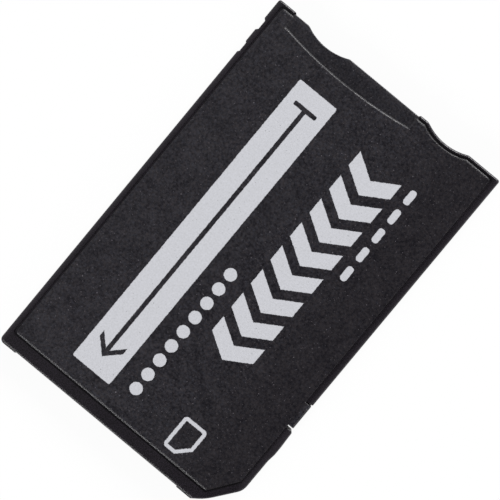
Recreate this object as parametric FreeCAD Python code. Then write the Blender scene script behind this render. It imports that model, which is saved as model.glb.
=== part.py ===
import FreeCAD, Part
import math
import os
from FreeCAD import Vector

# A flat adapter. A small memory card slides into its rear end, and its front end slides into a host.
# Millimetres: X across the card, Y along it, Z up. The origin is on the underside, in the middle.
# The ten terminals are at the front, -Y, and the mouth for the small card is at the rear, +Y.

# Whole card
card_width = 20.1
card_length = 31.0
card_thickness = 1.6

# Frame, seen from above
edge_round = 0.15
front_left_round = 0.38
rear_round = 0.18
corner_cut_x = 2.54
corner_cut_y = 2.81
corner_cut_bow = 0.213
corner_cut_peak = 0.275
corner_cut_front_round = 0.2
corner_cut_peak_round = 3.85
corner_cut_rear_round = 1.24
front_setback = 0.09
setback_left_margin = 1.5
setback_width = 14.65
setback_slant = 0.07
pad_drop = 0.1
front_bevel = 0.06
side_wall = 1.44
front_wall = 1.35
divider_wall = 0.95
rear_wall = 1.4
hollow_rib = 0.8
hollow_count = 3
inner_round = 0.2

# Shallow notches in the left side, as distance from the rear, length and depth
left_notches = [(1.685, 1.045, 0.165), (3.755, 0.95, 0.116)]

# Right side, which is a little wider ahead of the recess and has a low friction bump there
front_right_step = 0.07
bump_height = 0.085
bump_from_front = 5.55
bump_ramp = 0.6
bump_crest_length = 0.7
bump_front_round = 1.5
bump_rear_round = 3.0

# Finger scallops in the rear edge, one in the frame and one in the tongue of the top cover
scallop_depth = 0.425
scallop_shoulder = 0.55
tongue_scallop_half_span = 1.94
tongue_scallop_from_left = 3.175
frame_scallop_share = 0.271
frame_scallop_margin = 0.585

# Steel covers
sheet = 0.12
cover_sink = 0.02
cover_gap = 0.13
cover_left_margin = 0.53
cover_right_margin = 0.55
cover_front_margin = 1.14
cover_rear_margin = 0.33
cover_corner_round = 0.25
cover_cut_x = 1.49
cover_cut_y = 2.07
cover_cut_front_round = 0.12
cover_cut_rear_round = 0.3
cover_edge_round = 0.06
lower_cover_front_margin = 4.3

# Tongue of the top cover, stepped down behind a shallow arc
tongue_left_overlap = 0.15
tongue_right_overlap = 0.1
tongue_rear_margin = 0.125
tongue_drop = 0.1
tongue_arc_offset = -0.2
tongue_arc_radius = 33.0
tongue_arc_depth = 1.755
tongue_side_inset = 0.05
tongue_shoulder = 0.07
tongue_play = 0.05
tongue_corner_round = 0.1

# Side tab of the top cover, folded down in a recess of the frame
tab_from_front = 8.43
tab_length = 2.0
tab_bottom_z = 0.35
tab_bend = 0.22
tab_set_in = 0.025
tab_end_round = 0.05
recess_depth = 0.46
recess_front_play = 0.225
recess_rear_play = 0.1
recess_ledge_z = 0.3
recess_ledge_play = 0.02
recess_corner = 0.07

# Small card and its bay
small_card_width = 11.0
small_card_length = 15.0
small_card_side_play = 0.05
small_card_sink = 0.05
small_card_end_play = 0.1
rail_width = 0.45
rail_top_z = 0.3
mouth_lead_in = 0.12

# Circuit board and terminals
board_thickness = 0.3
board_bottom_z = 0.42
board_play = 0.06
board_ledge = 0.5
terminal_count = 10
terminal_pitch = 1.45
terminal_first_margin = 2.225
terminal_width = 1.05
terminal_length = 2.4
terminal_plating = 0.035
comb_rib = 0.3
comb_depth = 3.95
comb_floor_depth = 4.9
comb_nose_setback = 0.14
peg_radius = 0.35
peg_height = 0.36
peg_chamfer = 0.08
peg_hole_play = 0.06
peg_inset = 0.75

# Card contacts and the block that holds them
contact_count = 8
contact_pitch = 1.1
contact_width = 0.6
contact_sheet = 0.08
contact_run_z = 0.24
contact_crown_z = 0.42
contact_crown_reach = 2.95
contact_tip_reach = 3.7
contact_bend_reach = 0.35
contact_tail_reach = 1.65
contact_joggle = 0.4
carrier_length = 1.9
carrier_play = 0.04
carrier_top_z = 1.3
carrier_stop_chamfer = 0.15
relief_margin = 1.2
relief_floor_z = 0.8
relief_wall = 0.7

# Small parts on the board, placed from the middle of its bay
chip_size = 5.0
chip_height = 0.5
chip_place = (-1.6, 0.7)
capacitor_places = [(-6.2, 2.3), (-6.2, 0.7), (-6.2, -0.9), (3.0, -1.7)]
resistor_places = [(3.4, 3.3), (3.4, 1.9), (3.4, 0.5), (5.6, 1.3)]
capacitor_height = 0.5
resistor_height = 0.35
end_part_length = 1.0
end_part_width = 0.5
end_cap = 0.22
end_cap_step = 0.02

# Insulating films
film = 0.03
film_side_play = 0.25
lower_film_reach = 4.5

# Edges and heights that follow from the above
left_x = -card_width / 2
right_x = card_width / 2 - front_right_step - bump_height
front_right_x = right_x + front_right_step
front_y = -card_length / 2
rear_y = card_length / 2
through = card_thickness

cover_left_x = left_x + cover_left_margin
cover_right_x = right_x - cover_right_margin
cover_front_right_x = front_right_x - cover_right_margin
cover_front_y = front_y + cover_front_margin
cover_rear_y = rear_y - cover_rear_margin
lower_cover_front_y = front_y + lower_cover_front_margin
cover_top_z = card_thickness - cover_sink
cover_bottom_z = cover_top_z - sheet

bay_width = small_card_width + 2 * small_card_side_play
bay_left_x = left_x + side_wall + tongue_left_overlap
bay_right_x = bay_left_x + bay_width
bay_middle_x = bay_left_x + bay_width / 2
carrier_rear_y = rear_y - small_card_sink - small_card_length - small_card_end_play
carrier_front_y = carrier_rear_y - carrier_length
board_bay_left_x = left_x + side_wall
board_bay_right_x = card_width / 2 - side_wall
board_bay_front_y = front_y + front_wall
board_bay_rear_y = carrier_front_y - board_play
board_bay_middle_y = (board_bay_front_y + board_bay_rear_y) / 2
board_bay_cut = corner_cut_x - 0.4
board_top_z = board_bottom_z + board_thickness
comb_rear_y = front_y + comb_depth
comb_floor_rear_y = front_y + comb_floor_depth

tongue_left_x = bay_left_x - tongue_left_overlap
tongue_right_x = bay_right_x + tongue_right_overlap
tongue_middle_x = (tongue_left_x + tongue_right_x) / 2
tongue_rear_y = rear_y - tongue_rear_margin
tongue_bottom_z = cover_bottom_z - tongue_drop
tongue_top_z = cover_top_z - tongue_drop
tongue_scallop_x = tongue_left_x + tongue_scallop_from_left
tongue_scallop_shoulder = scallop_shoulder - 0.1
frame_scallop_half_span = (right_x - tongue_right_x) * frame_scallop_share
frame_scallop_x = tongue_right_x + frame_scallop_margin + frame_scallop_half_span

tab_front_y = front_y + tab_from_front
tab_rear_y = tab_front_y + tab_length
tab_reach_x = right_x - tab_set_in
recess_x = right_x - recess_depth
recess_front_y = tab_front_y - recess_front_play
recess_rear_y = tab_rear_y + recess_rear_play

contact_run_y = carrier_front_y - contact_joggle
contact_tail_y = contact_run_y - contact_tail_reach
peg_y = comb_floor_rear_y - peg_radius
peg_places = [(board_bay_left_x + peg_inset, peg_y), (board_bay_right_x - peg_inset, peg_y)]


def box(x0, x1, y0, y1, z0, z1):
    """Block between three pairs of limits."""
    return Part.makeBox(x1 - x0, y1 - y0, z1 - z0, Vector(x0, y0, z0))


def rounded_edges(points, radii, closed):
    """Lines through the points, with an arc of the given radius at each point that has one."""
    count = len(points)
    edges = []
    start = None
    here = None
    for i, point in enumerate(points):
        is_end = not closed and i in (0, count - 1)
        if is_end or radii[i] == 0:
            arrive = leave = point
            arc = None
        else:
            back = (points[i - 1] - point).normalize()
            ahead = (points[(i + 1) % count] - point).normalize()
            half_angle = back.getAngle(ahead) / 2
            reach = radii[i] / math.tan(half_angle)
            arrive = point + back * reach
            leave = point + ahead * reach
            to_arc = radii[i] / math.sin(half_angle) - radii[i]
            arc = Part.Arc(arrive, point + (back + ahead).normalize() * to_arc, leave)
        if here is not None and (arrive - here).Length > 1e-6:
            edges.append(Part.LineSegment(here, arrive).toShape())
        if arc is not None:
            edges.append(arc.toShape())
        if start is None:
            start = arrive
        here = leave
    if closed and (start - here).Length > 1e-6:
        edges.append(Part.LineSegment(here, start).toShape())
    return edges


def slab(corners, z0, z1):
    """Plate whose outline is given as (x, y, corner radius), between two heights."""
    points = [Vector(x, y, z0) for x, y, radius in corners]
    radii = [radius for x, y, radius in corners]
    face = Part.Face(Part.Wire(rounded_edges(points, radii, True)))
    return face.extrude(Vector(0, 0, z1 - z0))


def strip(centre_line, radii, thickness, width):
    """Sheet strip of constant width that follows a bent centre line in a plane."""
    path = Part.Wire(rounded_edges(centre_line, radii, False))
    along = (centre_line[1] - centre_line[0]).normalize()
    plane_normal = along.cross(centre_line[2] - centre_line[1]).normalize()
    across = plane_normal * (width / 2)
    up = plane_normal.cross(along) * (thickness / 2)
    middle = centre_line[0]
    section = Part.makePolygon([
        middle + across + up,
        middle - across + up,
        middle - across - up,
        middle + across - up,
        middle + across + up,
    ])
    return path.makePipeShell([section], True, True)


def scallop(middle_x, edge_y, half_span, shoulder):
    """Corners of a shallow finger notch in a rear edge, from right to left."""
    turn = 2 * math.atan(scallop_depth / half_span)
    notch_radius = half_span / math.sin(turn) - shoulder
    reach = half_span - shoulder * math.tan(turn / 2)
    apex_y = edge_y - scallop_depth - notch_radius * (1 / math.cos(turn) - 1)
    return [
        (middle_x + reach, edge_y, shoulder),
        (middle_x, apex_y, notch_radius),
        (middle_x - reach, edge_y, shoulder),
    ]


def corner_cut_corners():
    """Corners of the slightly bowed cut at the front right, from front to rear."""
    start = Vector(front_right_x - corner_cut_x, front_y, 0)
    end = Vector(front_right_x, front_y + corner_cut_y, 0)
    along = end - start
    outward = Vector(along.y, -along.x, 0).normalize()
    peak = start + along * corner_cut_peak + outward * corner_cut_bow
    return [
        (start.x, start.y, corner_cut_front_round),
        (peak.x, peak.y, corner_cut_peak_round),
        (end.x, end.y, corner_cut_rear_round),
    ]


def right_side_corners():
    """Corners of the right side from front to rear, with the bump and a step inside the recess."""
    bump_y = front_y + bump_from_front
    crest_x = front_right_x + bump_height
    crest_y = bump_y + bump_ramp
    recess_length = recess_rear_y - recess_front_y
    return [
        (front_right_x, bump_y, bump_front_round),
        (crest_x, crest_y, bump_front_round),
        (crest_x, crest_y + bump_crest_length, bump_rear_round),
        (front_right_x, recess_front_y + recess_length * 0.2, 0),
        (right_x, recess_rear_y - recess_length * 0.2, 0),
        (right_x, rear_y, rear_round),
    ]


def frame_outline():
    """Outer outline of the card with its corner cut, its bump and the finger scallop of the frame."""
    corners = [(left_x, front_y, front_left_round)]
    corners += corner_cut_corners()
    corners += right_side_corners()
    corners += scallop(frame_scallop_x, rear_y, frame_scallop_half_span, scallop_shoulder)
    corners += [(left_x, rear_y, rear_round)]
    return corners


def cover_rear_corners(grow):
    """Rear corners shared by both covers, from right to left, grown by the given gap."""
    edge_y = cover_rear_y + grow
    shoulder = scallop_shoulder - cover_rear_margin + grow
    corners = [(cover_right_x + grow, edge_y, cover_corner_round)]
    corners += scallop(frame_scallop_x, edge_y, frame_scallop_half_span, shoulder)
    corners += [(cover_left_x - grow, edge_y, cover_corner_round)]
    return corners


def cover_outline(grow):
    """Outline of the top cover without its tongue, grown all round by the given gap.

    Ahead of the side tab it is wider on the right, as the frame is there.
    """
    cut_angle = math.atan2(cover_cut_y, cover_cut_x)
    cut_x = cover_front_right_x - cover_cut_x + grow * math.tan(cut_angle / 2)
    cut_y = cover_front_y + cover_cut_y - grow * math.tan(math.pi / 4 - cut_angle / 2)
    corners = [
        (cover_left_x - grow, cover_front_y - grow, cover_corner_round),
        (cut_x, cover_front_y - grow, cover_cut_front_round),
        (cover_front_right_x + grow, cut_y, cover_cut_rear_round),
        (cover_front_right_x + grow, tab_front_y + tab_length * 0.3, 0),
        (cover_right_x + grow, tab_rear_y - tab_length * 0.3, 0),
    ]
    return corners + cover_rear_corners(grow)


def lower_cover_outline(grow):
    """Outline of the bottom cover without its mouth edge, grown all round by the given gap."""
    corners = [
        (cover_left_x - grow, lower_cover_front_y - grow, cover_corner_round),
        (cover_right_x + grow, lower_cover_front_y - grow, cover_corner_round),
    ]
    return corners + cover_rear_corners(grow)


def side_notch(from_rear, length, depth):
    """Prism that cuts one shallow notch with slanted ends in the left side."""
    y1 = rear_y - from_rear
    y0 = y1 - length
    corners = [
        (left_x - depth, y0 - depth, 0),
        (left_x + depth, y0 + depth, 0),
        (left_x + depth, y1 - depth, 0),
        (left_x - depth, y1 + depth, 0),
    ]
    return slab(corners, -through, card_thickness + through)


def front_edge_cuts():
    """Cuts that set the front edge back, leave a lower pad at each end of it and bevel its upper rim."""
    high = card_thickness + through
    edge_y = front_y + front_setback
    x0 = left_x + setback_left_margin
    x1 = x0 + setback_width
    setback = slab([
        (x0 - setback_slant - through, front_y - through, 0),
        (x1 + setback_slant + through, front_y - through, 0),
        (x1 + setback_slant, front_y, 0),
        (x1, edge_y, 0),
        (x0, edge_y, 0),
        (x0 - setback_slant, front_y, 0),
    ], -through, high)
    ledge = box(
        left_x - through, right_x + through, front_y - through, edge_y,
        card_thickness - pad_drop, high,
    )
    bevel = Part.Face(Part.makePolygon([
        Vector(left_x - through, edge_y - front_bevel, card_thickness - 2 * front_bevel),
        Vector(left_x - through, edge_y + 2 * front_bevel, card_thickness + front_bevel),
        Vector(left_x - through, edge_y - front_bevel, card_thickness + front_bevel),
        Vector(left_x - through, edge_y - front_bevel, card_thickness - 2 * front_bevel),
    ])).extrude(Vector(card_width + 2 * through, 0, 0))
    return [setback, ledge, bevel]


def recess_slab(end_y, z0):
    """Notch in the right side from its front wall to the given rear wall, outer corners broken."""
    past_side = front_right_x + through
    return slab([
        (recess_x, recess_front_y, recess_corner),
        (front_right_x - recess_corner, recess_front_y, 0),
        (past_side, recess_front_y - recess_corner - through, 0),
        (past_side, end_y + recess_corner + through, 0),
        (right_x - recess_corner, end_y, 0),
        (recess_x, end_y, recess_corner),
    ], z0, card_thickness + through)


def tab_recess():
    """Notch that takes the folded tab; a ledge closes its rear end below the tab."""
    return [
        recess_slab(tab_rear_y + recess_ledge_play, -through),
        recess_slab(recess_rear_y, recess_ledge_z),
    ]


def frame_body():
    """Outer body of the frame with rounded rims, front pads, side notches and tab recess."""
    body = slab(frame_outline(), 0, card_thickness)
    rims = [e for e in body.Edges if abs(e.Vertexes[0].Z - e.Vertexes[-1].Z) < 1e-6]
    body = body.makeFillet(edge_round, rims)
    cuts = front_edge_cuts() + tab_recess()
    for notch in left_notches:
        cuts.append(side_notch(*notch))
    return body.cut(cuts)


def bay_corners(front_inset, rear_inset, side_inset, cut):
    """Outline of the board bay or of what lies in it, with the corner cut parallel to the frame's."""
    front = board_bay_front_y + front_inset
    rear = board_bay_rear_y - rear_inset
    left = board_bay_left_x + side_inset
    right = board_bay_right_x - side_inset
    return [
        (left, front, inner_round),
        (right - cut, front, inner_round),
        (right, front + cut, inner_round),
        (right, rear, inner_round),
        (left, rear, inner_round),
    ]


def rounded_window(x0, x1, y0, y1):
    """Opening with rounded corners that goes right through the frame."""
    places = ((x0, y0), (x1, y0), (x1, y1), (x0, y1))
    corners = [(x, y, inner_round) for x, y in places]
    return slab(corners, -through, card_thickness + through)


def frame_bays():
    """Everything that is hollow inside the frame."""
    low = -through
    high = card_thickness + through
    past_rear = rear_y + through
    board_bay = slab(bay_corners(0, 0, 0, board_bay_cut), board_bottom_z, high)
    under_board = box(
        board_bay_left_x + board_ledge, board_bay_right_x - board_ledge,
        comb_floor_rear_y, board_bay_rear_y - hollow_rib,
        low, board_bottom_z + board_thickness / 2,
    )
    between_rails = box(
        bay_left_x + rail_width, bay_right_x - rail_width,
        board_bay_rear_y - 2 * hollow_rib, past_rear, low, high,
    )
    card_zone = box(bay_left_x, bay_right_x, board_bay_rear_y - board_play, past_rear, rail_top_z, high)
    mouth_left_x = tongue_left_x - tongue_play
    mouth_right_x = tongue_right_x + tongue_play
    step_y = rear_y - tongue_arc_depth - 0.25
    mouth_top = box(mouth_left_x, mouth_right_x, step_y, past_rear, tongue_bottom_z, high)
    mouth_floor = box(mouth_left_x, mouth_right_x, cover_rear_y, past_rear, low, sheet)
    parts = [board_bay, under_board, between_rails, card_zone, mouth_top, mouth_floor]
    hollow_front_y = board_bay_rear_y + hollow_rib
    hollow_length = (rear_y - rear_wall - hollow_front_y + hollow_rib) / hollow_count - hollow_rib
    for i in range(hollow_count):
        y0 = hollow_front_y + i * (hollow_length + hollow_rib)
        y1 = y0 + hollow_length
        parts.append(rounded_window(bay_right_x + divider_wall, board_bay_right_x, y0, y1))
    for edge_x in (bay_left_x, bay_right_x):
        parts.append(slab([
            (edge_x - mouth_lead_in, rear_y, 0),
            (edge_x, rear_y - mouth_lead_in, 0),
            (edge_x + mouth_lead_in, rear_y, 0),
        ], rail_top_z, high))
    return parts


def terminal_x(i):
    """Middle of terminal i across the card."""
    return left_x + terminal_first_margin + i * terminal_pitch


def comb_ribs():
    """The thin ribs between the terminals, with rounded noses."""
    ribs = []
    nose_y = front_y + front_setback + comb_nose_setback
    for i in range(terminal_count - 1):
        x = terminal_x(i) + terminal_pitch / 2
        ribs.append(slab([
            (x - comb_rib / 2, nose_y, comb_rib * 0.45),
            (x + comb_rib / 2, nose_y, comb_rib * 0.45),
            (x + comb_rib / 2, comb_rear_y + comb_rib / 3, 0),
            (x - comb_rib / 2, comb_rear_y + comb_rib / 3, 0),
        ], 0, board_bottom_z))
    return ribs


def comb_slot():
    """The wide slot under the front edge that the ribs divide into terminal windows."""
    window_half = (terminal_pitch - comb_rib) / 2
    left = terminal_x(0) - window_half
    right = terminal_x(terminal_count - 1) + window_half
    return slab([
        (left, front_y - through, 0),
        (right, front_y - through, 0),
        (right, comb_rear_y, inner_round),
        (left, comb_rear_y, inner_round),
    ], -through, board_bottom_z)


def board_peg(x, y):
    """Round peg on the floor of the frame that places the board."""
    foot_z = board_bottom_z / 2
    peg = Part.makeCylinder(peg_radius, board_bottom_z + peg_height - foot_z, Vector(x, y, foot_z))
    rim = [e for e in peg.Edges if e.Closed and e.Vertexes[0].Z > board_bottom_z]
    return peg.makeChamfer(peg_chamfer, rim)


def cover_pockets():
    """Shallow pockets for both covers."""
    return [
        slab(cover_outline(cover_gap), cover_bottom_z, card_thickness + through),
        slab(lower_cover_outline(cover_gap), -through, sheet),
    ]


def frame():
    """Moulded frame: outer band, pockets for both covers, terminal comb, rails and divider."""
    shape = frame_body().cut(cover_pockets())
    shape = shape.cut(frame_bays())
    shape = shape.cut(comb_slot())
    shape = shape.fuse(comb_ribs())
    shape = shape.fuse([board_peg(x, y) for x, y in peg_places])
    return shape.removeSplitter()


def tongue_prism(low_inset, z0, high_inset, z1):
    """Tongue area between two heights, its arc and sides slanted from one inset to the other."""
    arc_y = rear_y - tongue_arc_depth
    disc = Part.makeCone(
        tongue_arc_radius - low_inset,
        tongue_arc_radius - high_inset,
        z1 - z0,
        Vector(tongue_middle_x + tongue_arc_offset, arc_y + tongue_arc_radius, z0),
    )
    left = tongue_left_x + tongue_side_inset
    right = tongue_right_x - 2 * tongue_side_inset
    start_y = arc_y - tongue_drop - 1
    wedge = Part.Face(Part.makePolygon([
        Vector(left + low_inset, start_y, z0),
        Vector(right - low_inset, start_y, z0),
        Vector(right - high_inset, start_y, z1),
        Vector(left + high_inset, start_y, z1),
        Vector(left + low_inset, start_y, z0),
    ])).extrude(Vector(0, rear_y + through - start_y, 0))
    return disc.common(wedge)


def tongue_plan(z0, z1):
    """Prism of the whole tongue with its finger scallop and small corner rounds."""
    corners = [
        (tongue_left_x, rear_y - tongue_arc_depth, 0),
        (tongue_right_x, rear_y - tongue_arc_depth, 0),
        (tongue_right_x, tongue_rear_y, tongue_corner_round),
    ]
    corners += scallop(
        tongue_scallop_x, tongue_rear_y,
        tongue_scallop_half_span, tongue_scallop_shoulder,
    )
    corners += [(tongue_left_x, tongue_rear_y, tongue_corner_round)]
    return slab(corners, z0, z1)


def side_tab():
    """Tab that leaves the right edge of the top cover and folds down in the recess."""
    middle_y = (tab_front_y + tab_rear_y) / 2
    middle_z = cover_top_z - sheet / 2
    outer_x = tab_reach_x - sheet / 2
    line = [
        Vector(cover_right_x - cover_gap, middle_y, middle_z),
        Vector(outer_x, middle_y, middle_z),
        Vector(outer_x, middle_y, tab_bottom_z),
    ]
    tab = strip(line, [0, tab_bend - sheet / 2, 0], sheet, tab_length)
    return tab.makeFillet(tab_end_round, [e for e in tab.Edges if is_on_tab_end(e)])


def is_on_tab_end(edge):
    """True for the outer edges along the front and rear ends of the tab."""
    middle = middle_of(edge)
    runs_across = abs(edge.Vertexes[0].Y - edge.Vertexes[-1].Y) < 1e-6
    at_end = min(abs(middle.y - tab_front_y), abs(middle.y - tab_rear_y)) < 1e-6
    on_top = all(abs(vertex.Z - cover_top_z) < 1e-6 for vertex in edge.Vertexes)
    on_outside = all(abs(vertex.X - tab_reach_x) < 1e-6 for vertex in edge.Vertexes)
    bend_x = tab_reach_x - tab_bend * 0.3
    on_bend = middle.x > bend_x and middle.z > cover_top_z - tab_bend * 0.35
    return runs_across and at_end and (on_top or on_outside or on_bend)


def behind_tongue():
    """Prism of the area behind the tongue and in its finger scallop, which both covers leave free."""
    area = box(
        tongue_left_x, tongue_right_x, rear_y - tongue_arc_depth, rear_y + through,
        -through, card_thickness + through,
    )
    return area.cut(tongue_plan(-through, card_thickness + through))


def mouth_lip(z0, z1):
    """Part of the tongue's plan that reaches past the rear edge of the covers."""
    rear_strip = box(
        tongue_left_x, tongue_right_x, cover_rear_y - tongue_side_inset, rear_y + through,
        -through, card_thickness + through,
    )
    return tongue_plan(z0, z1).common(rear_strip)


def top_cover():
    """Steel top cover with its stepped tongue, finger scallop and side tab."""
    plate = slab(cover_outline(0), cover_bottom_z, cover_top_z)
    under_slant = sheet * (math.sqrt(2) - 1)
    press_down = tongue_prism(tongue_drop, tongue_top_z, -tongue_drop, cover_top_z + tongue_drop)
    backing = tongue_prism(under_slant, tongue_bottom_z, under_slant - tongue_drop, cover_bottom_z)
    keep = slab(cover_outline(0), -through, card_thickness + through)
    shape = plate.cut(press_down).fuse(backing.common(keep))
    shape = shape.cut(behind_tongue()).fuse(mouth_lip(tongue_bottom_z, tongue_top_z)).removeSplitter()
    shape = shape.makeFillet(tongue_shoulder, [e for e in shape.Edges if is_on_shoulder(e)])
    shape = shape.makeFillet(cover_edge_round, [e for e in shape.Edges if is_on_rim(e)])
    return shape.fuse(side_tab()).removeSplitter()


def middle_of(edge):
    """Point halfway along an edge."""
    return edge.valueAt((edge.FirstParameter + edge.LastParameter) / 2)


def is_on_top(edge):
    """True for an edge that lies in the upper face of the top cover."""
    return all(abs(vertex.Z - cover_top_z) < 1e-6 for vertex in edge.Vertexes)


def is_inside_tongue(edge):
    """True for an edge within the tongue area, ahead of the rear edge of the cover."""
    middle = middle_of(edge)
    beside = tongue_left_x < middle.x < tongue_right_x
    start_y = rear_y - tongue_arc_depth - tongue_drop
    return beside and start_y < middle.y < cover_rear_y - cover_edge_round


def is_on_shoulder(edge):
    """True for the upper edges where the top cover steps down to its tongue."""
    return is_on_top(edge) and is_inside_tongue(edge)


def is_on_rim(edge):
    """True for the upper edges round the outside of the top cover and its tongue."""
    middle = middle_of(edge)
    on_lip = all(abs(vertex.Z - tongue_top_z) < 1e-6 for vertex in edge.Vertexes)
    behind = on_lip and middle.y > tongue_rear_y - scallop_depth - tongue_side_inset
    clear_of_corners = tongue_left_x + 0.15 < middle.x < tongue_right_x - 0.15
    return (is_on_top(edge) and not is_inside_tongue(edge)) or (behind and clear_of_corners)


def bottom_cover():
    """Plain steel bottom cover that reaches back to the mouth and has the same finger scallop there."""
    plate = slab(lower_cover_outline(0), 0, sheet)
    return plate.cut(behind_tongue()).fuse(mouth_lip(0, sheet)).removeSplitter()


def circuit_board():
    """Board with a corner cut and two holes for the pegs of the frame."""
    corners = bay_corners(board_play, board_play, board_play, board_bay_cut)
    plate = slab(corners, board_bottom_z, board_top_z)
    for x, y in peg_places:
        hole = Part.makeCylinder(peg_radius + peg_hole_play, card_thickness, Vector(x, y, 0))
        plate = plate.cut(hole)
    return plate


def terminal(i):
    """One plated terminal on the underside of the board."""
    x = terminal_x(i)
    y0 = board_bay_front_y + 2 * board_play
    return box(
        x - terminal_width / 2, x + terminal_width / 2, y0, y0 + terminal_length,
        board_bottom_z - terminal_plating, board_bottom_z,
    )


def card_contact(i):
    """One stamped spring: tail under the board, run through the carrier, crown under the small card."""
    x = bay_middle_x + (i - (contact_count - 1) / 2) * contact_pitch
    tail_z = board_bottom_z - contact_sheet / 2
    line = [
        Vector(x, contact_tail_y, tail_z),
        Vector(x, contact_run_y - contact_joggle, tail_z),
        Vector(x, contact_run_y, contact_run_z),
        Vector(x, carrier_rear_y + contact_bend_reach, contact_run_z),
        Vector(x, carrier_rear_y + contact_crown_reach, contact_crown_z - contact_sheet / 2 + 0.003),
        Vector(x, carrier_rear_y + contact_tip_reach, contact_run_z),
    ]
    return strip(line, [0, 0.15, 0.15, 1.2, 0.5, 0], contact_sheet, contact_width)


def contact_carrier(contacts):
    """Moulded block round the contacts; its rear face stops the small card."""
    left = bay_left_x + carrier_play
    right = bay_right_x - carrier_play
    block = box(left, right, carrier_front_y, carrier_rear_y, rail_top_z, carrier_top_z)
    stop_edges = []
    for edge in block.Edges:
        centre = edge.CenterOfMass
        if abs(centre.y - carrier_rear_y) < 1e-6 and abs(centre.z - carrier_top_z) < 1e-6:
            stop_edges.append(edge)
    block = block.makeChamfer(carrier_stop_chamfer, stop_edges)
    foot = box(
        left + rail_width, right - rail_width, carrier_front_y, carrier_rear_y,
        sheet + film, rail_top_z,
    )
    relief = box(
        left + relief_margin, right - relief_margin,
        carrier_front_y - through, carrier_rear_y - relief_wall,
        relief_floor_z, card_thickness,
    )
    return block.fuse(foot).cut(relief).cut(contacts).removeSplitter()


def controller_chip():
    """Flat square chip with a round mark hollow in one corner."""
    x = chip_place[0] - chip_size / 2
    y = board_bay_middle_y + chip_place[1] - chip_size / 2
    body = box(x, x + chip_size, y, y + chip_size, board_top_z, board_top_z + chip_height)
    mark = Vector(x + chip_size * 0.14, y + chip_size * 0.86, board_top_z + chip_height * 0.9)
    return body.cut(Part.makeCylinder(chip_size * 0.05, chip_height, mark))


def end_capped(place, height):
    """Small two-ended part: a body between two slightly larger end caps."""
    x = place[0]
    y = board_bay_middle_y + place[1]
    half_length = end_part_length / 2
    half_width = end_part_width / 2
    slim = half_width - end_cap_step
    body = box(
        x - half_length, x + half_length, y - slim, y + slim,
        board_top_z, board_top_z + height - end_cap_step,
    )
    caps = []
    for x0 in (x - half_length, x + half_length - end_cap):
        caps.append(box(
            x0, x0 + end_cap, y - half_width, y + half_width,
            board_top_z, board_top_z + height,
        ))
    return body.fuse(caps).removeSplitter()


def upper_film():
    """Insulating film under the top cover, above the board."""
    corners = bay_corners(film_side_play, film_side_play, film_side_play, board_bay_cut)
    return slab(corners, cover_bottom_z - film, cover_bottom_z)


def lower_film():
    """Insulating film on the bottom cover, under the board and the card contacts."""
    left = board_bay_left_x + board_ledge + film_side_play
    right = board_bay_right_x - board_ledge - film_side_play
    narrow_right = bay_right_x - rail_width - film_side_play / 2
    front = comb_floor_rear_y + film_side_play
    shelf = board_bay_rear_y - hollow_rib - film_side_play
    rear = carrier_rear_y + lower_film_reach
    return slab([
        (left, front, inner_round),
        (right, front, inner_round),
        (right, shelf, inner_round),
        (narrow_right, shelf, inner_round),
        (narrow_right, rear, inner_round),
        (left, rear, inner_round),
    ], sheet, sheet + film)


def all_parts():
    """Every node of the adapter with its solid."""
    contacts = [card_contact(i) for i in range(contact_count)]
    parts = {
        "frame": frame(),
        "top_cover": top_cover(),
        "bottom_cover": bottom_cover(),
        "circuit_board": circuit_board(),
        "controller_chip": controller_chip(),
        "contact_carrier": contact_carrier(contacts),
        "upper_film": upper_film(),
        "lower_film": lower_film(),
    }
    for i, contact in enumerate(contacts):
        parts[f"card_contact_{i + 1}"] = contact
    for i in range(terminal_count):
        parts[f"terminal_{i + 1:02d}"] = terminal(i)
    for i, place in enumerate(capacitor_places):
        parts[f"capacitor_{i + 1}"] = end_capped(place, capacitor_height)
    for i, place in enumerate(resistor_places):
        parts[f"resistor_{i + 1}"] = end_capped(place, resistor_height)
    return parts


os.makedirs("parts", exist_ok=True)
for name, shape in all_parts().items():
    solid = shape.Solids[0] if len(shape.Solids) == 1 else shape
    solid.exportStep(f"parts/{name}.step")
    print(name, "solids", len(solid.Solids), "valid", solid.isValid(), "mm3", round(solid.Volume, 3))
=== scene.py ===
# %% [markdown]
# A flat card adapter, dressed for a studio picture.
# The real thing is a moulded frame between two painted steel covers. Its pieces come from the
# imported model, where each one already has its true shape, so none of them is modelled again.
# What is left for Blender is one small block, the surfaces, the printed marks, the light and
# the camera.

# %% Load the pieces
import math

import bmesh
import bpy
from mathutils import Euler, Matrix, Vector


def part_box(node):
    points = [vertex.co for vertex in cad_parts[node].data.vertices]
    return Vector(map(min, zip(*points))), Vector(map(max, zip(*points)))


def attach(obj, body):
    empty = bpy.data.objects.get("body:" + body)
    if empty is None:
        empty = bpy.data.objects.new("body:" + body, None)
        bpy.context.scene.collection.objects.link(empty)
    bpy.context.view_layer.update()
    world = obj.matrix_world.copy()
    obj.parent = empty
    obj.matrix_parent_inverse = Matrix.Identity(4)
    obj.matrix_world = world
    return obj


MM = 1000.0  # millimetres in a metre

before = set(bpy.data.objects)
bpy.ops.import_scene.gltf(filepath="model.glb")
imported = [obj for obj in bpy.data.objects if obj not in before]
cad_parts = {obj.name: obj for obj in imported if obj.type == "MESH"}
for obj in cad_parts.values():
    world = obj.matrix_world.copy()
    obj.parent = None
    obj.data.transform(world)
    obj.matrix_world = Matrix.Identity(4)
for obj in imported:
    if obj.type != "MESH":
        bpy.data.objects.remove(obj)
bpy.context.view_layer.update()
print("pieces:", len(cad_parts))

# %% [markdown]
# A material is a graph of nodes, and a formula such as a grain or a printed bar needs dozens of
# them. Wiring those by hand hides the idea. A small class that stands for one socket, and that
# adds a Math node whenever Python adds or multiplies it, lets each surface be read as a formula.

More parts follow.
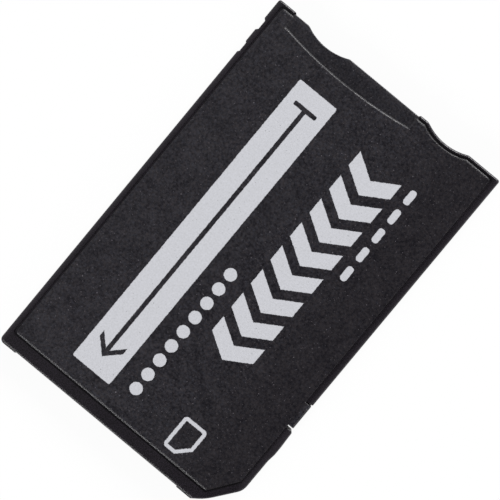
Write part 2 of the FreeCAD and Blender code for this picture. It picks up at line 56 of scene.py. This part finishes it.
# %% A socket that can be used in sums
class Value:
    """One output socket; an operator on it adds the Math node for that operator."""

    def __init__(self, tree, socket):
        self.tree = tree
        self.socket = socket

    def math(self, operation, *others):
        return calculate(self.tree, operation, self, *others)

    def flipped(self, operation, first):
        return calculate(self.tree, operation, first, self)

    def __add__(self, other):
        return self.math("ADD", other)

    def __sub__(self, other):
        return self.math("SUBTRACT", other)

    def __mul__(self, other):
        return self.math("MULTIPLY", other)

    def __truediv__(self, other):
        return self.math("DIVIDE", other)

    def __mod__(self, other):
        return self.math("FLOORED_MODULO", other)

    def __gt__(self, other):
        return self.math("GREATER_THAN", other)

    def __lt__(self, other):
        return self.math("LESS_THAN", other)

    def __radd__(self, other):
        return self.flipped("ADD", other)

    def __rsub__(self, other):
        return self.flipped("SUBTRACT", other)

    def __rmul__(self, other):
        return self.flipped("MULTIPLY", other)

    def __neg__(self):
        return self.flipped("SUBTRACT", 0.0)

    def __abs__(self):
        return self.math("ABSOLUTE")

    def largest(self, other):
        return self.math("MAXIMUM", other)

    def smallest(self, other):
        return self.math("MINIMUM", other)

    def clipped(self):
        """The value, held between 0 and 1."""
        return self.largest(0.0).smallest(1.0)

    def ramp(self, start, width):
        """0 up to the start, then rising to 1 over the width."""
        return ((self - start) / width).clipped()


# %% What goes into a node's input
def put(tree, target, item):
    """Link a socket to an input, or set the input to a plain number, vector or colour."""
    if isinstance(item, Value):
        tree.links.new(item.socket, target)
    elif target.type == "RGBA":
        target.default_value = (*item, 1.0)
    else:
        target.default_value = item


def calculate(tree, operation, *items):
    """Add a Math node that takes sockets or numbers, and give back its result."""
    node = tree.nodes.new("ShaderNodeMath")
    node.operation = operation
    for place, item in enumerate(items):
        put(tree, node.inputs[place], item)
    return Value(tree, node.outputs[0])


# %% [markdown]
# Each finish starts from the same few things: the shader, the point on the surface in
# millimetres, and a way to add any node by its name. One class keeps them together. It also
# knows the rims, which are the faces that lean away from level: there a surface gets rubbed, and
# its lighter colour there is partly a painted highlight.

# %% A finish to be filled in
LEVEL = 0.985  # a face is level when its normal is at least this much upright
RIM_FADE = 0.07  # and fully a rim when it is this much less upright than that


class Finish:
    """A new material with its main shader, and helpers that add nodes to it."""

    def __init__(self, name, roughness=0.5, metallic=0.0, specular=0.5):
        self.material = bpy.data.materials.new(name)
        self.material.use_nodes = True
        self.tree = self.material.node_tree
        self.shader = self.tree.nodes["Principled BSDF"]
        self.shader.inputs["Roughness"].default_value = roughness
        self.shader.inputs["Metallic"].default_value = metallic
        self.shader.inputs["Specular IOR Level"].default_value = specular
        self.roughness = roughness
        place = self.node("ShaderNodeTexCoord", out="Object")
        self.mm = self.vector("SCALE", {0: place, "Scale": MM})
        self.x, self.y, self.z = self.split(self.mm)
        upright = self.split(self.node("ShaderNodeNewGeometry", out="Normal"))[2]
        self.rim = ((LEVEL - abs(upright)) / RIM_FADE).clipped()

    def node(self, kind, settings=None, inputs=None, out=0):
        """Add a node of any kind and give back one of its outputs."""
        node = self.tree.nodes.new(kind)
        for key, value in (settings or {}).items():
            setattr(node, key, value)
        for key, item in (inputs or {}).items():
            put(self.tree, node.inputs[key], item)
        return Value(self.tree, node.outputs[out])

    def vector(self, operation, inputs):
        """Result of a Vector Math node."""
        return self.node("ShaderNodeVectorMath", {"operation": operation}, inputs)

    def split(self, vector):
        """The three parts of a vector."""
        node = self.tree.nodes.new("ShaderNodeSeparateXYZ")
        put(self.tree, node.inputs[0], vector)
        return [Value(self.tree, socket) for socket in node.outputs]

    def noise(self, size_mm, detail=2.0, rough=0.5, stretch=None):
        """Cloudy noise around 0.5 whose features are about size_mm across."""
        where = self.vector("MULTIPLY", {0: self.mm, 1: stretch}) if stretch else self.mm
        inputs = {"Vector": where, "Scale": 1.0 / size_mm, "Detail": detail, "Roughness": rough}
        return self.node("ShaderNodeTexNoise", None, inputs, "Fac")

    def mix(self, amount, first, second):
        """Blend of two colours."""
        inputs = {0: amount, 6: first, 7: second}  # the sockets that its colour mode uses
        return self.node("ShaderNodeMix", {"data_type": "RGBA"}, inputs, 2)

    def set(self, name, item):
        put(self.tree, self.shader.inputs[name], item)

    def gloss(self, change, rim_roughness):
        """Roughness that varies over the faces and has a level of its own on the rims."""
        face = change + self.roughness
        self.set("Roughness", face + self.rim * (rim_roughness - face))

    def bump(self, height, depth_mm, strength=1.0, edge_mm=None):
        """Relief, depth_mm deep where height is 1; edge_mm softens the look of sharp edges."""
        inputs = {"Height": height, "Distance": depth_mm / MM, "Strength": strength}
        if edge_mm is not None:
            radius = {"Radius": edge_mm / MM}
            inputs["Normal"] = self.node("ShaderNodeBevel", {"samples": 6}, radius)
        self.set("Normal", self.node("ShaderNodeBump", None, inputs))


# %% Giving a finish to pieces
def dress(material, *names):
    """Give a finish to every piece whose name starts with one of the names."""
    found = [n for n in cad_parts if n.startswith(names)]
    for name in found:
        for slot in bpy.data.objects[name].material_slots:
            slot.material = material
    print(material.name, "on", len(found), "pieces")


# %% [markdown]
# The covers are thin steel, painted charcoal before they were pressed. The paint is satin with a
# fine mottle of a few tenths of a millimetre, and light specks are painted in as its glints.
# A sharp noise drives the mottle, and the same noise gives the paint its relief, so that dark
# and raised spots fall together, as they do on a real coat. Its grey drifts between warm and
# cool. Towards the right side the coat is calmer and warmer, and its colour is darkened a little
# there as painted shade. On the side tab that is folded down it is the other way round.

# %% Charcoal paint
PAINT_DARK = (0.0013, 0.0007, 0.0032)
PAINT_WARM = (0.0238, 0.0194, 0.0222)
PAINT_COOL = (0.0192, 0.0193, 0.0272)
GLINT_SPECK = (0.125, 0.115, 0.13)
PAINT_RELIEF_MM = 0.012
CALM_AND_SHADE_FROM_X, CALM_AND_SHADE_WIDTH = 2.5, 5.0
TAB_FOLD_X, TAB_FOLD_WIDTH = 9.36, 0.12


def paint(finish, soft_mm=None):
    """Colour and tone of the mottled paint, darker to the right as painted shade; soft_mm softens
    the look of the sheet's edges.
    """
    mottle = finish.noise(0.165, 4.0, 0.66)
    cloud = finish.noise(1.1, 3.0, 0.55)
    folded = finish.x.ramp(TAB_FOLD_X, TAB_FOLD_WIDTH)
    # Calmer grain to the right; the same ramp darkens the colour there as painted shade.
    calm_and_painted_shade = finish.x.ramp(CALM_AND_SHADE_FROM_X, CALM_AND_SHADE_WIDTH) - folded * 1.5
    spots = (mottle - 0.5) * (3.0 - calm_and_painted_shade * 1.1)
    drift = (cloud - 0.5) * (1.0 - calm_and_painted_shade * 0.5)
    # The tone is darkened towards the right: painted shade.
    tone = (spots + drift + 0.5 - calm_and_painted_shade * 0.14).clipped()
    tint = ((finish.noise(0.2, 2.0, 0.5) - 0.5) * 3.0 + 0.5 - calm_and_painted_shade * 0.35).clipped()
    # Sparse light specks in the colour: painted glints.
    glint_speck = ((finish.noise(0.13, 1.0, 0.4) - 0.705) * 9.0).clipped()
    colour = finish.mix(tone, PAINT_DARK, finish.mix(tint, PAINT_WARM, PAINT_COOL))
    finish.bump(mottle * (1.0 - finish.rim * 0.95), PAINT_RELIEF_MM, 0.35, soft_mm)
    return finish.mix(glint_speck, colour, GLINT_SPECK), tone


# %% [markdown]
# The marks on the top cover are white ink. They are plain shapes: a pale bar with an arrow that
# says which end goes in first, a row of bold chevrons that point the same way, rows of dots and
# dashes, and the outline of a small card. Each shape is a distance formula on the point's place,
# so its edge stays sharp however close the camera comes. All numbers are millimetres on the
# cover. A row is one shape and a modulo, which brings every step back to the first one.

# %% Distance from a box
def box_distance(x, y, centre, half, round_mm):
    """Distance in mm from a box with round corners; it is negative inside."""
    dx = abs(x - centre[0]) - (half[0] - round_mm)
    dy = abs(y - centre[1]) - (half[1] - round_mm)
    past_x = dx.largest(0.0)
    past_y = dy.largest(0.0)
    outside = (past_x * past_x + past_y * past_y).math("SQRT")
    inside = dx.largest(dy).smallest(0.0)
    return outside + inside - round_mm


def span_box(x, y, x_range, y_range, round_mm):
    """The same distance, for a box that is given by its limits."""
    centre = [(x_range[0] + x_range[1]) / 2, (y_range[0] + y_range[1]) / 2]
    half = [(x_range[1] - x_range[0]) / 2, (y_range[1] - y_range[0]) / 2]
    return box_distance(x, y, centre, half, round_mm)


# %% Arrow and small card
SLANT = 0.707  # makes a length along X or Y one that is square to a 45 degree line


def arrow_distance(x, y):
    """Thin long arrow that points to the front."""
    middle, tip, half_line = -3.725, -11.5, 0.17
    shaft = span_box(x, y, (middle - half_line, middle + half_line), (-11.42, 10.6), 0.1)
    off_middle = abs(x - middle)
    barb = (abs(y - tip - off_middle) * SLANT - half_line).largest(off_middle - 1.05)
    tail = span_box(x, y, (-4.7, -2.75), (10.45, 10.79), 0.1)
    return shaft.smallest(barb).smallest(tail)


def card_sign_distance(x, y):
    """Outline of a small card with one cut corner."""
    half_line = 0.13
    outer = span_box(x, y, (3.49, 5.48), (-13.78, -11.14), 0.3)
    corner = (x - y) * SLANT - 12.95
    body = outer.largest(corner)
    return abs(body + half_line) - half_line


# %% Rows of chevrons, dots and dashes
def chevron_distance(x, y):
    """Row of bold chevrons that point to the front."""
    pitch, first, slope, square = 2.14, -6.95, 0.62, 0.85
    lean = y - abs(x - 2.93) * slope
    row = (abs(((lean - first) % pitch) - pitch / 2) - 0.64) * square
    ends = span_box(x, lean, (1.06, 4.8), (first, 10.17), 0.05)
    return row.largest(ends)


def dot_distance(x, y):
    """Row of dots between the bar and the chevrons."""
    pitch, first, radius = 1.3, -12.6, 0.47
    along = ((y - first) % pitch) - pitch / 2
    across = x + 0.42
    dot = (along * along + across * across).math("SQRT") - radius
    return dot.largest(abs(y + 6.75) - 5.85)


def dash_distance(x, y):
    """Row of dashes beside the chevrons."""
    pitch, first = 1.72, 2.85
    along = ((y - first) % pitch) - pitch / 2
    dash = box_distance(x, along, (5.8, 0.0), (0.26, 0.58), 0.22)
    return dash.largest(abs(y - 7.15) - 4.3)


# %% [markdown]
# The smallest of two distances joins two shapes, and the largest of one distance and another
# with its sign turned cuts the second shape out, as the arrow is cut out of the bar. Real ink
# has a slightly ragged edge and pinholes, so two fine noises move the edge and thin the ink.

# %% Where the ink lies
INK_EDGE_MM = 0.035
PRINTED_Z = 1.5  # only the upper side of the sheet is printed

top_finish = Finish("top_cover_paint", roughness=0.3, specular=0.5)
px, py, pz = top_finish.x, top_finish.y, top_finish.z
bar = span_box(px, py, (-5.39, -2.06), (-12.96, 12.1), 0.12)
white = bar.largest(-arrow_distance(px, py))
marks = (chevron_distance, dot_distance, dash_distance, card_sign_distance)
for distance in marks:
    white = white.smallest(distance(px, py))
ragged = (top_finish.noise(0.17, 3.0, 0.6) - 0.5) * 0.1
ink = (0.5 - (white + ragged) / INK_EDGE_MM).clipped()
pinhole = ((top_finish.noise(0.14, 2.0, 0.5) - 0.70) * 14.0).clipped() * 0.55
ink_cover = ink * (pz > PRINTED_Z) * (1.0 - pinhole)
print("the bar with its arrow, and", len(marks), "other marks")

# %% [markdown]
# The sheet's edges are sharp in the model, and paint rounds them off. The Bevel node bends the
# shading there as a small round would, which costs no faces. Its radius is more than nothing
# only at the front edge, and on the level part from the drawn arc to the rear edge.
# The tongue behind the arc lies a little lower and is darkened as painted shade. The rear edges
# are lighter, as paint that small cards have rubbed and as a painted highlight.

# %% The top cover's paint
FRONT_EDGE_Y, ARC_Y, REAR_EDGE_Y, RUBBED_AND_HIGHLIT_Y = -14.05, 13.0, 14.7, 15.08
LEVEL_PART_Z, TONGUE_Z = 1.57, 1.53
# Lighter paint for the rear edges: rubbed paint, and a painted highlight.
RUBBED_AND_HIGHLIT_PAINT = (0.055, 0.054, 0.058)

rear_soft_mm = ((py > ARC_Y) * 0.14 + (py > REAR_EDGE_Y) * 0.07) * (pz > LEVEL_PART_Z)
paint_colour, paint_tone = paint(top_finish, (py < FRONT_EDGE_Y) * 0.22 + rear_soft_mm)
# Painted shade on the lower tongue, strongest next to the arc.
painted_tongue_shade = (pz < TONGUE_Z) * (0.45 - py.ramp(13.9, 1.2) * 0.3)
tongue_colour = top_finish.mix(painted_tongue_shade, paint_colour, PAINT_DARK)
patchy = (top_finish.noise(0.4, 3.0, 0.6) * 3.0 - 0.7).clipped()
near_rear = py.ramp(15.05, 0.2)
# Lighter rear rims and a patchy band along the rear edge: rubbed paint and a painted highlight.
rubbed_and_highlight = (top_finish.rim * (py > RUBBED_AND_HIGHLIT_Y) + near_rear * 0.25).clipped() * patchy
cover_colour = top_finish.mix(rubbed_and_highlight, tongue_colour, RUBBED_AND_HIGHLIT_PAINT)

# %% Ink over the paint
INK_DIM = (0.475, 0.48, 0.505)
INK_BRIGHT = (0.61, 0.615, 0.66)

ink_tone = ((top_finish.noise(0.12, 3.0, 0.6) - 0.5) * 1.6 + 0.5).clipped()
ink_colour = top_finish.mix(ink_tone, INK_DIM, INK_BRIGHT)
top_finish.set("Base Color", top_finish.mix(ink_cover, cover_colour, ink_colour))
top_finish.gloss(paint_tone * 0.12 + ink_cover * 0.15, 0.34)
dress(top_finish.material, "top_cover")

# %% The bottom cover
bottom_finish = Finish("bottom_cover_paint", roughness=0.3, specular=0.5)
bottom_colour, bottom_tone = paint(bottom_finish)
bottom_finish.set("Base Color", bottom_colour)
bottom_finish.gloss(bottom_tone * 0.12, 0.34)
dress(bottom_finish.material, "bottom_cover")

# %% [markdown]
# The frame is moulded black plastic. It is smoother and darker than the paint, because the mould
# was lightly spark-eroded: a very fine, even texture. Its rims are a little lighter, as wear where
# hands and hosts rub them and as a painted highlight, and its outer side bands are painted
# lighter as a highlight. A slow noise makes some places glossier. The outer rims get the same
# softened shading as the cover's edges.

# %% Moulded plastic
FRAME_MIDDLE_X, FRAME_MIDDLE_Z = -0.07, 0.8
FRONT_RIM_Y = -15.2


def moulded(name, dark, light, worn_and_highlight_light, grain_mm, depth_mm, roughness, specular, soft_mm=None):
    """A plastic with fine texture and slow changes of gloss; soft_mm is for an outer rim."""
    finish = Finish(name, roughness=roughness, specular=specular)
    grain = finish.noise(grain_mm, 3.0, 0.55)
    slow = finish.noise(2.5, 2.0, 0.5)
    tone = ((grain - 0.5) * 5.0 + (slow - 0.5) * 0.4 + 0.5).clipped()
    # Lighter rims: wear, and partly a painted highlight.
    wear_and_highlight = finish.rim * (slow * 0.8 + 0.2)
    rim_mm = None
    if soft_mm:
        sideways = abs(finish.x - FRAME_MIDDLE_X)
        upwards = abs(finish.z - FRAME_MIDDLE_Z)
        # Lighter outer side bands near the top and bottom faces: painted highlight.
        wear_and_highlight = wear_and_highlight.largest(sideways.ramp(9.58, 0.25) * upwards.ramp(0.4, 0.25) * 0.33)
        at_rim = (sideways - 9.6).largest((finish.y < FRONT_RIM_Y) * soft_mm)
        rim_mm = at_rim.largest(0.0).smallest(soft_mm)
    finish.set("Base Color", finish.mix(wear_and_highlight, finish.mix(tone, dark, light), worn_and_highlight_light))
    finish.gloss(slow * 0.12 + grain * 0.05 - 0.08, roughness * 0.55)
    finish.bump(grain, depth_mm, 0.6, rim_mm)
    return finish.material


# %% The frame, the contact carrier and the controller chip
frame_plastic = moulded(
    "frame_plastic",
    dark=(0.0004, 0.0001, 0.0006), light=(0.0136, 0.0100, 0.0156), worn_and_highlight_light=(0.034, 0.030, 0.036),
    grain_mm=0.07, depth_mm=0.018, roughness=0.32, specular=0.36, soft_mm=0.2,
)
carrier_plastic = moulded(
    "carrier_plastic",
    dark=(0.012, 0.012, 0.013), light=(0.022, 0.022, 0.023), worn_and_highlight_light=(0.04, 0.04, 0.042),
    grain_mm=0.08, depth_mm=0.004, roughness=0.5, specular=0.3,
)
chip_resin = moulded(
    "chip_resin",
    dark=(0.014, 0.014, 0.015), light=(0.024, 0.024, 0.025), worn_and_highlight_light=(0.03, 0.03, 0.031),
    grain_mm=0.05, depth_mm=0.003, roughness=0.6, specular=0.3,
)
dress(frame_plastic, "frame")
dress(carrier_plastic, "contact_carrier")
dress(chip_resin, "controller_chip")

# %% [markdown]
# Behind the side tab the frame has a small stop that keeps light from shining up through the
# recess. It is a block with a slanted top, so its mesh starts as a cube whose upper front edge is
# lowered, and then all of its edges are rounded a little, as a mould leaves them.

# %% From a bmesh to an object
def to_object(name, shape):
    """Turn a finished bmesh into an object of the scene."""
    mesh = bpy.data.meshes.new(name)
    shape.to_mesh(mesh)
    shape.free()
    piece = bpy.data.objects.new(name, mesh)
    bpy.context.scene.collection.objects.link(piece)
    print(name, "has", len(mesh.polygons), "faces")
    return piece


# %% The stop behind the side tab
def block_with_slant(name, low, high, drop, round_mm):
    """Block between two corners, in mm, with its top sloping down to the front."""
    shape = bmesh.new()
    bmesh.ops.create_cube(shape, size=1.0)
    for corner in shape.verts:
        at_top = corner.co.z > 0
        at_front = corner.co.y < 0
        for axis in range(3):
            corner.co[axis] = high[axis] if corner.co[axis] > 0 else low[axis]
        if at_top and at_front:
            corner.co.z -= drop
    bmesh.ops.bevel(
        shape, geom=shape.edges[:], offset=round_mm, offset_type="OFFSET", affect="EDGES",
        segments=3, profile=0.5, material=-1,
    )
    bmesh.ops.scale(shape, vec=[1.0 / MM] * 3, verts=shape.verts[:])
    bmesh.ops.recalc_face_normals(shape, faces=shape.faces[:])
    piece = to_object(name, shape)
    piece.data.shade_smooth()
    return piece


tab_stop = block_with_slant(
    "tab_stop", low=(9.435, -5.4, 0.3), high=(9.72, -4.97, 1.3), drop=0.25, round_mm=0.04,
)
tab_stop.data.materials.append(frame_plastic)
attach(tab_stop, "root")

# %% [markdown]
# Terminals and card contacts are gold over nickel. Gold this thin shows the drawing lines of the
# strip below it, so a noise that is stretched along the card streaks its colour and its gloss.

# %% Gold
GOLD_BRIGHT = (0.86, 0.6, 0.22)
GOLD_STAINED = (0.72, 0.46, 0.15)


def gold(name, streak_mm):
    """Gold plating with fine streaks along the card."""
    finish = Finish(name, roughness=0.3, metallic=1.0)
    streak = finish.noise(streak_mm, 3.0, 0.6, (1.0, 0.12, 1.0))
    stain = (finish.noise(1.2, 2.0, 0.5) * 1.4 - 0.3).clipped()
    finish.set("Base Color", finish.mix(stain, GOLD_BRIGHT, GOLD_STAINED))
    finish.set("Roughness", 0.2 + streak * 0.2)
    finish.bump(streak, 0.002, 0.5)
    return finish.material


dress(gold("terminal_gold", 0.06), "terminal_")
dress(gold("contact_gold", 0.04), "card_contact_")

# %% [markdown]
# The board is green solder mask over copper. Its copper tracks show through the mask as slightly
# lighter, raised lanes. Straight lanes at an even pitch, cut off by a patchy noise, give that
# without any artwork. Its cut edges show the bare laminate.

# %% Circuit board
LANE_PITCH, LANE_HALF, LANE_EDGE = 0.5, 0.09, 0.02
BOARD_MIDDLE_Z, LAMINATE_HALF = 0.57, 0.135
MASK_GREEN, TRACK_GREEN = (0.008, 0.05, 0.02), (0.02, 0.115, 0.04)
LAMINATE_DARK, LAMINATE_LIGHT = (0.16, 0.15, 0.07), (0.26, 0.24, 0.12)

board_finish = Finish("board_mask", roughness=0.3, specular=0.5)
off_lane = abs((board_finish.x % LANE_PITCH) - LANE_PITCH / 2)
lane = ((LANE_HALF - off_lane) / LANE_EDGE + 0.5).clipped()
patch = ((board_finish.noise(2.2, 1.0, 0.5, (1.0, 0.4, 1.0)) - 0.47) * 40.0).clipped()
track = lane * patch
fleck = board_finish.noise(0.1, 2.0, 0.5)
mask_colour = board_finish.mix(track, MASK_GREEN, TRACK_GREEN)
laminate = board_finish.mix(fleck, LAMINATE_DARK, LAMINATE_LIGHT)
cut_edge = abs(board_finish.z - BOARD_MIDDLE_Z) < LAMINATE_HALF
board_finish.set("Base Color", board_finish.mix(cut_edge, mask_colour, laminate))
board_finish.set("Roughness", 0.28 + fleck * 0.08 + cut_edge * 0.3)
board_finish.bump(track + fleck * 0.1, 0.02, 0.6)
dress(board_finish.material, "circuit_board")

# %% [markdown]
# The small parts on the board have tinned ends and a body of fired ceramic or dark glaze. Both
# are told apart by the place along the part, which is the same in each of them: the ends are the
# outer fifths. So one formula serves for every part when it is given the middle of that part.

# %% Capacitors and resistors
TIN = (0.62, 0.61, 0.58)
BODY_HALF, BODY_EDGE = 0.28, 0.01


def end_capped(name, middle_x, body_dark, body_light):
    """Finish of a small part that lies along X."""
    finish = Finish(name, roughness=0.4)
    end = ((abs(finish.x - middle_x) - BODY_HALF) / BODY_EDGE + 0.5).clipped()
    grain = finish.noise(0.09, 3.0, 0.6)
    finish.set("Base Color", finish.mix(end, finish.mix(grain, body_dark, body_light), TIN))
    finish.set("Metallic", end)
    finish.set("Roughness", 0.3 + grain * 0.15)
    finish.bump(grain, 0.004, 0.6)
    return finish.material


for kind, dark, light in (
    ("capacitor_", (0.30, 0.20, 0.11), (0.44, 0.31, 0.18)),
    ("resistor_", (0.012, 0.012, 0.014), (0.03, 0.03, 0.034)),
):
    for name in sorted(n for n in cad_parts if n.startswith(kind)):
        low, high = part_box(name)
        middle_x = (low[0] + high[0]) / 2 * MM
        dress(end_capped(name + "_body", middle_x, dark, light), name)

# %% [markdown]
# The two films are amber polyimide. They are hidden in the closed adapter, but from the mouth
# the lower one can be seen under the card contacts.

# %% Insulating films
AMBER_DEEP, AMBER_PALE = (0.42, 0.17, 0.02), (0.62, 0.29, 0.05)

film_finish = Finish("insulating_film", roughness=0.22)
wrinkle = film_finish.noise(0.9, 3.0, 0.5)
film_finish.set("Base Color", film_finish.mix(wrinkle, AMBER_DEEP, AMBER_PALE))
film_finish.set("Roughness", 0.18 + wrinkle * 0.12)
film_finish.bump(wrinkle, 0.02, 0.4)
dress(film_finish.material, "upper_film", "lower_film")

# %% [markdown]
# The adapter lies on a white table. A broad floor with a pale finish takes its faint shadow.
# In the picture the paper is almost pure white, so what the camera sees of it is mostly a white
# glow, and the rest is the lit paper with the shadow on it. Rays that are mirrored, or that
# pass through something, see the same glow, but only beyond the adapter's own outline, because
# the paper below it lies in shade.

# %% Floor
FLOOR_HALF_M = 1.5
FLOOR_BELOW_MM = 0.02

grid = bmesh.new()
bmesh.ops.create_grid(grid, x_segments=1, y_segments=1, size=FLOOR_HALF_M)
floor = to_object("floor", grid)
floor.location = (0, 0, -FLOOR_BELOW_MM / MM)

# %% Paper
WHITE = (1.0, 1.0, 1.0)
PAPER_DIM, PAPER_BRIGHT = (0.91, 0.91, 0.91), (0.93, 0.93, 0.93)
OUTLINE_X, OUTLINE_Y = (-10.0, 10.0), (-15.5, 15.5)
GLOW_SHARE = 0.93

paper = Finish("floor_white", roughness=0.9, specular=0.0)
paper.set("Base Color", paper.mix(paper.noise(6.0, 2.0, 0.5), PAPER_DIM, PAPER_BRIGHT))
beyond = span_box(paper.x, paper.y, OUTLINE_X, OUTLINE_Y, 0.1).clipped()
rays = paper.node("ShaderNodeLightPath", out="Is Camera Ray")
for ray in ("Is Glossy Ray", "Is Transmission Ray"):
    rays = rays + paper.node("ShaderNodeLightPath", out=ray) * beyond

glow = paper.node("ShaderNodeEmission", None, {"Color": WHITE, "Strength": 1.0})
lit = Value(paper.tree, paper.shader.outputs[0])
blend = paper.node("ShaderNodeMixShader", None, {0: rays.clipped() * GLOW_SHARE, 1: lit, 2: glow})
put(paper.tree, paper.tree.nodes["Material Output"].inputs["Surface"], blend)
floor.data.materials.append(paper.material)
print("the floor glows by", GLOW_SHARE)

# %% [markdown]
# The picture was taken from straight above in soft light. The edges that face the mouth shine
# most and the edges that face the terminals shine a little, so a lamp stands beyond the mouth, a
# weaker one beyond the terminals and a faint one to the right. The world fills in the rest.
# Satin paint mirrors what hangs above it, and there the studio is dark, a little less so on the
# left. So the sky is darker overhead than at the horizon, and only rays from the camera, or
# through something clear, see it plain white.

# %% World
HORIZON = 0.5
OVERHEAD = 0.15
SIDEWAYS = 1.1

world = bpy.data.worlds.new("studio")
bpy.context.scene.world = world
world.use_nodes = True
tree = world.node_tree
back = tree.nodes["Background"]
place = tree.nodes.new("ShaderNodeTexCoord")
split = tree.nodes.new("ShaderNodeSeparateXYZ")
tree.links.new(place.outputs["Generated"], split.inputs[0])
sky_x = Value(tree, split.outputs["X"])
height = Value(tree, split.outputs["Z"]).clipped()
overhead = height.math("POWER", 4.0) * (OVERHEAD - HORIZON - sky_x * SIDEWAYS)
sky = (overhead + HORIZON).largest(0.0)
light_path = tree.nodes.new("ShaderNodeLightPath").outputs
seen = Value(tree, light_path["Is Camera Ray"]) + Value(tree, light_path["Is Transmission Ray"])
put(tree, back.inputs["Strength"], sky + seen.clipped() * (1.0 - sky))
put(tree, back.inputs["Color"], WHITE)
print("sky strength", HORIZON, "at the horizon and", OVERHEAD, "overhead")

# %% Lamps
def lamp(name, place, size, power):
    """A soft rectangular lamp, in metres and watts, turned to the adapter."""
    data = bpy.data.lights.new(name, "AREA")
    data.shape = "RECTANGLE"
    data.size, data.size_y = size
    data.energy = power
    holder = bpy.data.objects.new(name, data)
    holder.location = place
    to_adapter = Vector() - holder.location
    holder.rotation_euler = to_adapter.to_track_quat("-Z", "Y").to_euler()
    bpy.context.scene.collection.objects.link(holder)
    print(name, power, "W")


lamp("mouth_side_lamp", (0.0, 0.36, 0.22), (0.13, 0.16), 1.4)
lamp("terminal_side_lamp", (0.0, -0.36, 0.22), (0.13, 0.16), 1.0)
lamp("right_side_lamp", (0.36, 0.0, 0.22), (0.2, 0.16), 0.13)

# %% [markdown]
# The camera stands a hand's width above the card with a long lens, almost square to it, and is
# turned so that the card lies along the picture's rising diagonal. Its place and its turn were
# found by fitting the corners of the outline to the photograph.

# %% Camera
CAMERA_PLACE = (0.000202, 0.003572, 0.106607)
CAMERA_TURN = (-0.987, 1.2985, 39.6475)  # in degrees

camera_data = bpy.data.cameras.new("camera")
camera_data.sensor_width = 36.0
camera_data.lens = 108.0
camera_data.clip_start = 0.005
camera_data.clip_end = 5.0
camera = bpy.data.objects.new("camera", camera_data)
camera.location = CAMERA_PLACE
camera.rotation_euler = Euler([math.radians(a) for a in CAMERA_TURN])
bpy.context.scene.collection.objects.link(camera)
bpy.context.scene.camera = camera
bpy.context.scene.view_settings.view_transform = "Standard"
print("camera", round(CAMERA_PLACE[2] * MM), "mm up, lens", camera_data.lens, "mm")
